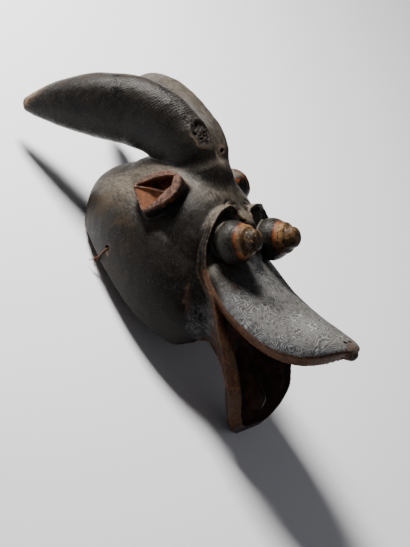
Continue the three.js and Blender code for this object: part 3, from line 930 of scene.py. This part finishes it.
# The eyes' barrels, painted rings and knobs
eye_along = along_eyes(places, side)
on_eyes = ramp(eye_along, -14, -10)
eye_barrel = on_eyes * (1 - ramp(eye_along, 6, 8.3))
eye_ring = on_eyes * np.exp(-((eye_along - 9.6) / 2.1) ** 4)
eye_paint = ramp(eye_along, 8.3, 10.6) * between(0.6, 1.0, ramp(side, -10, 10))
uneven = eye_along + wander(places, 12, 5.5)
eye_line = np.max([line_at(uneven, line, 0.7) for line in (12.2, 15.4, 17.6)], axis=0)
eye_knob = ramp(eye_along, 17.5, 19.5) * between(1.0, 0.6, ramp(side, -10, 10))

# The mouth's bare wood
bill_out = unit(in_face(0.55, 0.83) - in_face(0, 0))
mouth_deep = ramp(face_up, 22, 2) * ramp(from_edge, 10, 17) * (face_forward < 8) * (face_forward > -45)
under_bill = ramp(-(normals @ bill_out), 0.2, 0.6) * (face_forward > -20) * (face_up < 30)
mouth = np.clip(mouth_deep + under_bill, 0, 1) * (1 - lip_band)

# The hollow is what lies further in than half the wall from the dome's outside at its own height
rise = np.arcsin(np.clip(up / DOME_HEIGHT, 0, 1) ** (1 / PROFILE_ROUNDNESS)) * 2 / math.pi
reach = DOME_LENGTH / 2 * dome_narrowing(rise) - WALL / 2
ahead = (forward - dome_middle(rise)) / np.maximum(reach, 1)
half = DOME_HALF_WIDTH * dome_narrowing(rise) * (1 + FACE_SWELL * np.clip(ahead, -1, 1)) - WALL / 2
aside = side / np.maximum(half, 1)
deep = np.abs(ahead) ** 2.3 + np.abs(aside) ** 2.3
inside_dome = (1 - ramp(deep, 0.94, 1.02)) * (up < DOME_HEIGHT - WALL / 2) * (face_forward < -24)
dome_back = ramp(-face_forward, 90, 150) * ramp(up, 130, 60) * (1 - inside_dome)

# As it hangs when worn and shown, with its face upright: paler where it faces up, partly real dust and partly
# painted light, and darker where it faces down, which is painted shade.
sky = normals @ UPRIGHT_FACE
dust = ramp(sky, 0.3, 0.88) * (1 - on_eyes) * (1 - ear_face)
# Painted shade: darker where it faces down as it hangs
underside_shade = ramp(-sky, -0.75, 0.0)

# The top of the upper jaw and the flanks of the lower one
bill_top = ramp(normals @ bill_out, -0.15, 0.2) * ramp(face_forward, -12, 12) * (1 - on_eyes)
bill_top = bill_top * (face_up < 45) * ramp(face_up, -92, -84)
# The dent across the upper jaw is painted darker: painted shade
bill_dent = near(places, in_face(46, -15, -20), 30)
bill_shine = near(places, in_face(86, -36, -16), 40)
# The lower jaw's outer flanks are painted a lighter bluish grey: painted light where the light falls on them
jaw_flank = ramp(behind_edge, 3, 7) * ramp(-face_up, 0, 30) * (face_forward > -45) * (from_edge < 40)
jaw_flank = jaw_flank * (1 - mouth) * (1 - lip_band) * (1 - inside_dome)
bill_end = ramp(near(places, in_face(134, -66), 20), 0.05, 0.5) * (1 - mouth)

# The horns, darker and less dusty than the forehead, with the knot and the hole at their feet
t, turn = (grid.ravel() for grid in np.meshgrid(np.linspace(0, 1, 120), np.linspace(-math.pi, math.pi, 64)))
horn_tree = tree_of(np.concatenate([place(t, turn) for place in horn_places.values()]))
horn = 1 - ramp(gaps(horn_tree, places, (up > 120) | (forward < 0)), 2.2, 5)
horn_end = ramp(-forward, 93, 108)
# The right horn keeps little of the pale colour. The horns' feet take it even where they face down, and the
# left horn is blackened less: partly real dust, partly painted light on their lit flanks.
dust = dust * (1 - horn * between(0.8, 0.1, ramp(side, -14, 2)) * (1 - 0.6 * ramp(forward, 50, 95)))
dust = np.maximum(dust, 0.6 * horn * ramp(forward, 50, 80) * ramp(sky, -0.35, 0.25))
horn = horn * (1 - 0.6 * ramp(forward, 50, 95)) * between(1, 0.55, ramp(side, -6, 4))
from_hole = np.linalg.norm(places - in_face(-58, 175, 8), axis=1) * 1000
horn_end = np.clip(horn_end + 0.35 * line_at(from_hole, 4.5, 2.0), 0, 1)
from_knot = knot_distance(places)
knot = (1 - ramp(from_knot, 14, 18)) * (side < 4) * (up > 175)
broken = near(places, TORN, 19) * (side < 4) * (up > 175) * (1 - knot)
below_knot = ramp((KNOT - places) @ UPRIGHT_FACE * 1000, -6, 8)
sinew = line_at(from_knot, 18, 1.8) * (side < 4) * (up > 170) * below_knot

chip = np.zeros(count)
for middle, radius, depth in CHIPS:
    chip = np.maximum(chip, near(places, middle, radius * 0.9) * min(1, depth / 1.2))

marks = {
    "edge": edge_wear, "crease": crease, "lip": lip_band, "brow": brow_crest, "ear": ear_face,
    "ear_depth": ear_depth, "ear_facet": ear_facet, "eye_barrel": eye_barrel, "eye_ring": eye_ring,
    "eye_paint": eye_paint, "eye_line": eye_line, "bill_dent": bill_dent, "bill_shine": bill_shine,
    "jaw_flank": jaw_flank, "eye_knob": eye_knob, "mouth": mouth, "inside": inside_dome, "bill": bill_top,
    "bill_end": bill_end, "horn": horn, "tip": horn_end, "knot": knot, "sinew": sinew, "broken": broken,
    "score": score, "chip": chip, "dome_back": dome_back, "dust": dust, "underside_shade": underside_shade,
}
for name, values in marks.items():
    attribute = mask.data.attributes.new(name, "FLOAT", "POINT")
    attribute.data.foreach_set("value", np.ascontiguousarray(values, np.float32))


def linear(hex_colour):
    def channel(pair):
        value = int(pair, 16) / 255
        return value / 12.92 if value <= 0.04045 else ((value + 0.055) / 1.055) ** 2.4
    return [channel(hex_colour[k:k + 2]) for k in (1, 3, 5)] + [1]


def new_material(name):
    material = bpy.data.materials.new(name)
    material.use_nodes = True
    material.node_tree.nodes.remove(material.node_tree.nodes["Principled BSDF"])
    return material


def add(material, kind, out, settings=None, *first, **inputs):
    """Adds one node with its settings, and its sockets, in order or by name, as values or links.

    Gives back one of its outputs."""
    node = material.node_tree.nodes.new("ShaderNode" + kind)
    for name, value in (settings or {}).items():
        setattr(node, name, value)
    sockets = {socket.identifier.replace(" ", "_"): socket for socket in node.inputs}
    inputs.update(zip(sockets, first))
    for name, value in inputs.items():
        if isinstance(value, bpy.types.NodeSocket):
            material.node_tree.links.new(value, sockets[name])
        else:
            sockets[name].default_value = value
    return next(socket for socket in node.outputs if socket.identifier == out)


def finish_with(form, material, shader):
    surface = material.node_tree.nodes["Material Output"].inputs["Surface"]
    material.node_tree.links.new(shader, surface)
    form.data.materials.clear()
    form.data.materials.append(material)


wood = new_material("smoked_hardwood_with_patina")
spot = add(wood, "TexCoord", "Object")
grain_run = add(wood, "Mapping", "Vector", Vector=spot, Scale=(3.2, 0.7, 2.6), Rotation=(0.5, 0.15, 0.3))
SMOOTH = {"interpolation_type": "SMOOTHSTEP"}
TIMES = {"operation": "MULTIPLY"}
TIMES_AND_ADD = {"operation": "MULTIPLY_ADD"}
PLUS = {"operation": "ADD"}
SINE = {"operation": "SINE"}
COLOUR = {"data_type": "RGBA"}

# Uneven patches, each about so many mm across
clouds = {"even": 1.0}
for name, size, detail, distortion, roughness, where in (
        ("broad", 70, 5, 0.6, 0.55, spot), ("middling", 22, 6, 0.8, 0.6, spot),
        ("fine", 5, 6, 0.4, 0.65, spot), ("grit", 1.6, 3, 0.0, 0.7, spot),
        ("streaks", 9, 6, 1.2, 0.7, grain_run), ("hairs", 3.2, 5, 0.8, 0.75, grain_run),
        ("crackle", 3, 5, 1.0, 0.6, spot)):
    clouds[name] = add(wood, "TexNoise", "Fac", Vector=where, Scale=1000 / size, Detail=detail,
                       Roughness=roughness, Distortion=distortion)

# The gouge's and the scraper's scratches: whorls of fine lines about 2 mm apart
lines = 0.0
for swirl, pace in ((26.0, 330.0), (38.0, 260.0)):
    swirls = add(wood, "TexNoise", "Fac", Vector=spot, Scale=swirl, Detail=1.0, Roughness=0.4, Distortion=0.3)
    turns = add(wood, "Math", "Value", TIMES, swirls, pace)
    wave = add(wood, "Math", "Value", SINE, turns)
    lines = add(wood, "Math", "Value", TIMES_AND_ADD, wave, 0.25, lines)
broken_up = add(wood, "Math", "Value", TIMES_AND_ADD, clouds["hairs"], 0.7, 0.15)
clouds["lines"] = add(wood, "Math", "Value", PLUS, lines, broken_up)

# The rasp's strokes across the horns. The real ones are about 2 mm apart, and these are 3 mm, so that they
# show
apart = add(wood, "SeparateXYZ", "Y", Vector=spot)
stray = add(wood, "Math", "Value", TIMES, clouds["middling"], 24.0)
strokes = add(wood, "Math", "Value", TIMES_AND_ADD, apart, 2000.0, stray)
strokes = add(wood, "Math", "Value", SINE, strokes)
strokes = add(wood, "Math", "Value", TIMES_AND_ADD, strokes, 0.25, 0.25)
patches = add(wood, "MapRange", "Result", SMOOTH, Value=clouds["broad"], From_Min=0.34, From_Max=0.54)
strokes = add(wood, "Math", "Value", TIMES, strokes, patches)
clouds["strokes"] = add(wood, "Math", "Value", PLUS, clouds["hairs"], strokes)

placed = {name: add(wood, "Attribute", "Fac", {"attribute_name": name}) for name in marks}

# From the bare smoked wood outwards: where it lies, the cloud that breaks it up, from where to where in the
# cloud, how much there is of it at least and at most, and its colour
COATS = [
    (None, "broad", 0.35, 0.65, 0.0, 1.0, "#181411"),
    (None, "streaks", 0.48, 0.7, 0.0, 0.6, "#2a241e"),
    (None, "middling", 0.48, 0.7, 0.0, 0.5, "#281c13"),
    (None, "hairs", 0.58, 0.7, 0.0, 0.5, "#484137"),
    (None, "fine", 0.36, 0.54, 0.9, 0.0, "#090808"),
    (None, "grit", 0.66, 0.76, 0.0, 0.4, "#5f584e"),
    ("dome_back", "middling", 0.45, 0.62, 0.0, 0.7, "#35260f"),
    ("dome_back", "hairs", 0.54, 0.68, 0.0, 0.5, "#57462c"),
    # Paler on top as it hangs: partly dust, partly painted light
    ("dust", "streaks", 0.36, 0.6, 0.15, 0.95, "#6a6257"),
    ("dust", "hairs", 0.5, 0.66, 0.0, 0.4, "#918779"),
    ("dust", "fine", 0.38, 0.52, 0.35, 0.0, "#2d2824"),
    ("horn", "even", 0.0, 1.0, 0.0, 0.75, "#0c0b0d"),
    ("horn", "strokes", 0.64, 0.96, 0.0, 0.5, "#4f4c48"),
    ("horn", "middling", 0.48, 0.64, 0.0, 0.5, "#2d241b"),
    ("horn", "hairs", 0.54, 0.68, 0.0, 0.4, "#47413a"),
    # Painted shade: near black where it faces down as it hangs
    ("underside_shade", "broad", 0.2, 0.7, 0.5, 0.9, "#0a0908"),
    ("underside_shade", "hairs", 0.56, 0.68, 0.0, 0.5, "#4a443c"),
    # Painted light: the lower jaw's lit flanks in a lighter bluish grey
    ("jaw_flank", "streaks", 0.4, 0.62, 0.0, 0.85, "#464547"),
    ("bill", "fine", 0.4, 0.68, 0.35, 0.9, "#505153"),
    ("bill", "lines", 0.55, 0.9, 0.0, 0.5, "#8c8e90"),
    ("bill", "lines", 0.1, 0.45, 0.65, 0.0, "#19191a"),
    ("bill", "fine", 0.38, 0.5, 0.55, 0.0, "#1f1f20"),
    # Painted shade in the upper jaw's dent
    ("bill_dent", "even", 0.0, 1.0, 0.0, 0.3, "#1c1c1c"),
    ("bill_shine", "lines", 0.3, 0.8, 0.0, 0.4, "#a9aaaa"),
    # Painted shade in creases, hollows and pin holes
    ("crease", "even", 0.0, 1.0, 0.0, 0.8, "#080706"),
    ("edge", "middling", 0.38, 0.62, 0.1, 0.6, "#544232"),
    ("score", "fine", 0.38, 0.62, 0.0, 0.4, "#4f4336"),
    ("brow", "fine", 0.38, 0.62, 0.0, 0.6, "#5f4f3d"),
    ("lip", "middling", 0.25, 0.5, 0.85, 1.0, "#34221a"),
    ("lip", "streaks", 0.42, 0.66, 0.0, 0.9, "#593d28"),
    ("bill_end", "fine", 0.38, 0.6, 0.1, 0.8, "#4d3728"),
    ("bill_end", "crackle", 0.5, 0.62, 0.0, 0.8, "#15110e"),
    ("tip", "middling", 0.3, 0.6, 0.4, 1.0, "#4e3e31"),
    ("tip", "fine", 0.45, 0.62, 0.0, 0.7, "#76634f"),
    ("chip", "even", 0.0, 1.0, 0.0, 0.75, "#75583f"),
    ("broken", "crackle", 0.46, 0.56, 0.95, 0.0, "#0b0908"),
    ("broken", "crackle", 0.58, 0.68, 0.0, 0.9, "#7d6c5b"),
    ("knot", "even", 0.0, 1.0, 0.0, 0.9, "#110d0b"),
    ("knot", "crackle", 0.54, 0.66, 0.0, 0.7, "#4d3f34"),
    ("sinew", "fine", 0.3, 0.5, 0.2, 0.8, "#5e5145"),
    # Mouth and hollow: unlit wood, never blackened as deep as outside
    ("mouth", "even", 0.0, 1.0, 0.0, 1.0, "#261913"),
    ("mouth", "middling", 0.4, 0.65, 0.0, 1.0, "#463026"),
    ("inside", "even", 0.0, 1.0, 0.0, 1.0, "#3b2a1e"),
    ("inside", "streaks", 0.35, 0.7, 0.0, 1.0, "#5f4733"),
    # Ears: fired-earth red, with orange left in the hollows, and the pit painted dark for its shade
    ("ear", "even", 0.0, 1.0, 0.0, 1.0, "#362620"),
    ("ear", "fine", 0.38, 0.66, 0.0, 1.0, "#654b40"),
    ("ear_facet", "middling", 0.3, 0.62, 0.4, 0.95, "#5d361f"),
    ("ear_facet", "fine", 0.45, 0.64, 0.0, 0.7, "#8c5227"),
    ("ear_facet", "broad", 0.42, 0.6, 0.7, 0.0, "#553829"),
    ("ear_depth", "even", 0.0, 1.0, 0.0, 0.9, "#2a140a"),
    ("ear_depth", "middling", 0.45, 0.65, 0.0, 0.6, "#7d431d"),
    # Eyes: a narrow orange ring, worn ochre over it and a dark knob
    ("eye_barrel", "middling", 0.42, 0.6, 0.0, 0.7, "#22211e"),
    ("eye_barrel", "hairs", 0.48, 0.62, 0.0, 0.6, "#3d382f"),
    ("eye_barrel", "fine", 0.5, 0.64, 0.0, 0.5, "#1c2423"),
    ("eye_paint", "middling", 0.4, 0.56, 0.25, 0.85, "#80653f"),
    ("eye_paint", "crackle", 0.52, 0.62, 0.0, 0.9, "#66261c"),
    ("eye_paint", "fine", 0.46, 0.56, 0.0, 0.9, "#191411"),
    ("eye_ring", "middling", 0.4, 0.58, 0.1, 0.9, "#6d3b22"),
    ("eye_line", "middling", 0.46, 0.6, 0.0, 0.75, "#8f6b45"),
    ("eye_knob", "fine", 0.34, 0.6, 0.75, 1.0, "#1b1612"),
    ("eye_knob", "streaks", 0.5, 0.66, 0.0, 0.85, "#7d6243"),
]
colour = linear("#0d0b0a")
for where, cloud, low, high, least, most, tone in COATS:
    share = add(wood, "MapRange", "Result", SMOOTH, Value=clouds[cloud], From_Min=low, From_Max=high,
                To_Min=least, To_Max=most)
    if where:
        share = add(wood, "Math", "Value", TIMES, share, placed[where])
    colour = add(wood, "Mix", "Result_Color", COLOUR, Factor_Float=share, A_Color=colour,
                 B_Color=linear(tone))

# Polish by hands and smoke: satin, brightest on the horns and duller where dust, pigment or bare wood lies
gloss = add(wood, "MapRange", "Result", SMOOTH, Value=clouds["middling"], From_Min=0.3, From_Max=0.7,
            To_Min=0.22, To_Max=0.36)
for where, change in (("horn", -0.1), ("dust", 0.22), ("bill", 0.12), ("ear", 0.4), ("inside", 0.4),
                      ("mouth", 0.35)):
    gloss = add(wood, "Math", "Value", TIMES_AND_ADD, placed[where], change, gloss)
gloss = add(wood, "Math", "Value", TIMES_AND_ADD, clouds["grit"], 0.1, gloss)

# Relief too fine for the mesh, in mm: where it lies, its cloud and its height
RELIEF = [
    (None, "streaks", 0.3), (None, "fine", 0.35), (None, "hairs", 0.15), (None, "grit", 0.14),
    (None, "lines", 0.06), ("bill", "lines", 0.34), ("horn", "strokes", 0.24), ("dust", "hairs", 0.2),
    ("eye_barrel", "fine", 0.6), ("broken", "crackle", 2.4), ("knot", "crackle", 2.4),
    ("eye_paint", "crackle", 0.8),
]
height = 0.0
for where, cloud, tall in RELIEF:
    amount = tall / 1000
    if where:
        amount = add(wood, "Math", "Value", TIMES, placed[where], amount)
    height = add(wood, "Math", "Value", TIMES_AND_ADD, clouds[cloud], amount, height)
bump = add(wood, "Bump", "Normal", Height=height, Strength=0.9, Distance=1.0)
shader = add(wood, "BsdfPrincipled", "BSDF", Base_Color=colour, Roughness=gloss, Normal=bump, IOR=1.5,
             Specular_IOR_Level=0.11)
finish_with(mask, wood, shader)
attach(mask, "root")
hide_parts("mask")

# Tie
# What is left of a cord: three plies of plant fibre laid into a strand about 2 mm thick, through the hole on
# the right, round the rim's edge and knotted under it, with two frayed ends.
TIE_WAY = np.array([  # forward, up and side
    [101, 10.6, -95.2], [102.5, 17, -95.6], [105, 25, -98.6], [107.2, 31, -100.9], [108, 33.7, -100],
    [108, 34, -92], [108, 33.7, -85], [107.2, 31, -83.2], [105, 24, -81.3], [102.5, 15.5, -78],
    [101, 10.8, -79.4], [101, 10.4, -86], [101, 10.6, -95.2],
])
PLY_RADIUS = 0.55
PLY_OFFSET = 0.5
TWIST_LENGTH = 7.0
FRAY_RADIUS = 0.32
FRAYED_ENDS = {"front_end": [[98.5, 6, -98], [95, 3.5, -98.5]],
               "back_end": [[103, 5.5, -97.5], [106.5, 3, -97]]}


def fibre(name, points, radius, ends=1.0):
    """A round fibre through the points, in metres, thinned towards its end."""
    pick()
    bpy.ops.curve.primitive_nurbs_path_add()
    path = bpy.context.object
    path.name = name
    path.data.splines.clear()
    spline = path.data.splines.new("POLY")
    spline.points.add(len(points) - 1)
    for k, (point, place) in enumerate(zip(spline.points, points)):
        point.co = (*place, 1)
        point.radius = between(1, ends, k / (len(points) - 1))
    path.data.dimensions = "3D"
    path.data.bevel_depth = radius
    path.data.bevel_resolution = 1
    path.data.use_fill_caps = True
    path.matrix_world = Matrix.Identity(4)
    bpy.ops.object.convert(target="MESH")
    return bpy.context.object


def plies(name, way, count):
    way = np.asarray(way)
    run = unit(np.gradient(way, axis=0))
    lengths = np.concatenate([[0], np.cumsum(np.linalg.norm(np.diff(way, axis=0), axis=1))]) * 1000
    across = unit(np.cross(run, [0.3, 0.9, 0.31]))
    upward = np.cross(run, across)
    made = []
    for ply in range(count):
        turn = (lengths / TWIST_LENGTH + ply / count) * 2 * math.pi
        swing = (across * np.cos(turn)[:, None] + upward * np.sin(turn)[:, None]) * PLY_OFFSET / 1000
        made.append(fibre(f"{name}_{ply}", way + swing, PLY_RADIUS / 1000))
    return made


strands = plies("strand", through(at(*TIE_WAY.T), np.linspace(0, 1, 150)), 3)
knot_middle = at(101, 10.2, -95.7)
knot_turn = np.linspace(0, 2 * math.pi * 2.4, 60)
knot_way = knot_middle + np.stack([
    np.cos(knot_turn) * (1.7 + 0.3 * np.sin(knot_turn * 0.7)),
    np.sin(knot_turn * 0.83) * 1.5,
    np.sin(knot_turn) * 1.6,
], axis=1) / 1000
strands += plies("knot", knot_way, 2)
for name, end in FRAYED_ENDS.items():
    for k in range(5):
        splay = [[random.uniform(-wide, wide) for _ in range(3)] for wide in (0.3, 1.3)]
        middle, last = at(*(np.array(end) + splay).T)
        way = through([knot_middle, middle, last], np.linspace(0, 1, 14))
        strands.append(fibre(f"{name}_{k}", way, FRAY_RADIUS / 1000, 0.45))
pick(*strands)
tie = strands[0]
bpy.ops.object.join()
tie.name = "twisted_tie"
face_outwards(tie)
bpy.ops.object.shade_smooth()

twine = new_material("plant_fibre_cord")
spot = add(twine, "TexCoord", "Object")
hairs = add(twine, "TexNoise", "Fac", Vector=spot, Scale=1400.0, Detail=4.0, Roughness=0.7)
soil = add(twine, "TexNoise", "Fac", Vector=spot, Scale=160.0, Detail=3.0)
tone = add(twine, "Mix", "Result_Color", COLOUR, Factor_Float=soil, A_Color=linear("#3a2017"),
           B_Color=linear("#7c5138"))
tone = add(twine, "Mix", "Result_Color", COLOUR, Factor_Float=hairs, A_Color=tone, B_Color=linear("#4d3022"))
relief = add(twine, "Bump", "Normal", Height=hairs, Strength=0.5, Distance=0.0003)
shader = add(twine, "BsdfPrincipled", "BSDF", Base_Color=tone, Normal=relief, Roughness=0.85, IOR=1.5)
finish_with(tie, twine, shader)
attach(tie, "root")
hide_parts("rim_tie")

# Floor and light
# A plain pale paper floor under one soft light, which stands over the upright face and so behind the mask as
# it lies, and two weak panels in front of it, as in a studio.
FLOOR_SIZE = 14
pick()
bpy.ops.mesh.primitive_plane_add(size=FLOOR_SIZE, location=(0, 0, 0))
floor = bpy.context.object
floor.name = "floor"
edit_all(bpy.ops.mesh.subdivide, number_cuts=3)
paper = new_material("matt_studio_paper")
spot = add(paper, "TexCoord", "Object")
tooth = add(paper, "TexNoise", "Fac", Vector=spot, Scale=900.0, Detail=2.0)
relief = add(paper, "Bump", "Normal", Height=tooth, Strength=0.05, Distance=0.0003)
shader = add(paper, "BsdfPrincipled", "BSDF", Base_Color=linear("#eeeef2"), Normal=relief, Roughness=0.9,
             IOR=1.45)
finish_with(floor, paper, shader)
floor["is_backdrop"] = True


def soft_light(name, place, aim, size, power, tint):
    bpy.ops.object.light_add(type="AREA", location=place)
    light = bpy.context.object
    light.name = name
    light.data.shape = "SQUARE"
    light.data.size = size
    light.data.energy = power
    light.data.color = linear(tint)[:3]
    light.rotation_euler = (Vector(aim) - Vector(place)).to_track_quat("-Z", "Y").to_euler()


soft_light("overhead_softbox", (-0.3, 1.27, 1.2), (0, 0, 0.08), 0.55, 106, "#fffcf7")
soft_light("right_panel", (-1.7, -1.3, 1.4), (0, -0.05, 0.1), 1.4, 1.2, "#f4f6ff")
soft_light("left_panel", (1.7, -1.3, 0.9), (0, -0.05, 0.1), 1.4, 4, "#f4f6ff")
world = bpy.data.worlds.new("studio")
bpy.context.scene.world = world
world.use_nodes = True
world.node_tree.nodes["Background"].inputs["Color"].default_value = linear("#eceef5")
world.node_tree.nodes["Background"].inputs["Strength"].default_value = 0.1

bpy.context.view_layer.update()
boxes = {"cad": cad_box, "visual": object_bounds()}
{name: [list(corner) for corner in box] for name, box in boxes.items()}
